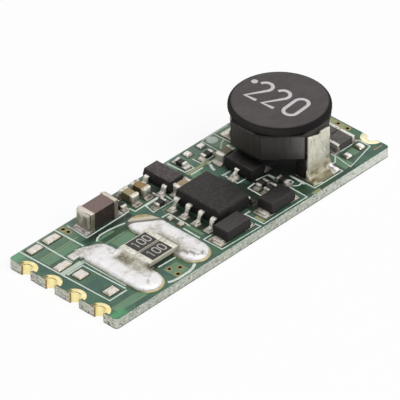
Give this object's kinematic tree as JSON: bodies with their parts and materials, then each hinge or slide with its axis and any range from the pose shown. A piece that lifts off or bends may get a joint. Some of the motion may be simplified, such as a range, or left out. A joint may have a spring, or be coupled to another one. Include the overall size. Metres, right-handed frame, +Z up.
{
  "type": "led driver module",
  "caption": "Small castellated circuit module with a drum inductor on strap legs, a driver chip, diodes, chip resistors and capacitors, and two domed solder bars.",
  "frame": {"origin": "middle of the board's underside, which is also the middle of the module's footprint", "axes": "+X along the board towards its inductor end, +Y across the board towards its rear long edge, +Z up out of the fitted face"},
  "size_m": [0.0306, 0.0114, 0.0058],
  "materials": {
    "board": "gloss green solder mask",
    "gold": "gold plate",
    "solder": "reflowed solder",
    "alumina": "matt fired ceramic",
    "overglaze": "dark glaze",
    "resistor": "black glaze",
    "large_ceramic": "fired ceramic",
    "small_ceramic": "fired ceramic",
    "mould": "moulded epoxy",
    "lead": "tin plate",
    "ferrite": "ground ferrite",
    "sleeve": "shrunk tape",
    "copper": "enamelled wire",
    "carrier": "moulded base"
  },
  "bodies": {
    "root": {"circuit_board": "board", "diode_1_body": "mould", "diode_1_tabs": "lead", "diode_2_body": "mould", "diode_2_tabs": "lead", "driver_chip_body": "mould", "driver_chip_leads": "lead", "edge_contact_1": "gold", "edge_contact_2": "gold", "edge_contact_3": "gold", "edge_contact_4": "gold", "edge_contact_5": "gold", "edge_contact_6": "gold", "inductor_carrier": "carrier", "inductor_core": "ferrite", "inductor_sleeve": "sleeve", "inductor_strap_front": "lead", "inductor_strap_rear": "lead", "inductor_winding": "copper", "large_capacitor_body": "large_ceramic", "large_capacitor_ends": "solder", "link_resistor_1_body": "alumina", "link_resistor_1_ends": "solder", "link_resistor_1_glaze": "overglaze", "link_resistor_2_body": "alumina", "link_resistor_2_ends": "solder", "link_resistor_2_glaze": "overglaze", "sense_resistor_1_body": "resistor", "sense_resistor_1_ends": "solder", "sense_resistor_2_body": "resistor", "sense_resistor_2_ends": "solder", "small_capacitor_1_body": "small_ceramic", "small_capacitor_1_ends": "solder", "small_capacitor_2_body": "small_ceramic", "small_capacitor_2_ends": "solder", "small_capacitor_3_body": "small_ceramic", "small_capacitor_3_ends": "solder", "small_capacitor_4_body": "small_ceramic", "small_capacitor_4_ends": "solder", "small_resistor_1_body": "resistor", "small_resistor_1_ends": "solder", "small_resistor_2_body": "resistor", "small_resistor_2_ends": "solder", "small_resistor_3_body": "resistor", "small_resistor_3_ends": "solder", "small_resistor_4_body": "resistor", "small_resistor_4_ends": "solder", "small_resistor_5_body": "resistor", "small_resistor_5_ends": "solder", "small_resistor_6_body": "resistor", "small_resistor_6_ends": "solder", "small_resistor_7_body": "resistor", "small_resistor_7_ends": "solder", "solder_bar_left": "solder", "solder_bar_right": "solder", "tinned_pads": "solder", "transistor_1_body": "mould", "transistor_1_leads": "lead", "transistor_2_body": "mould", "transistor_2_leads": "lead"}
  },
  "joints": []
}
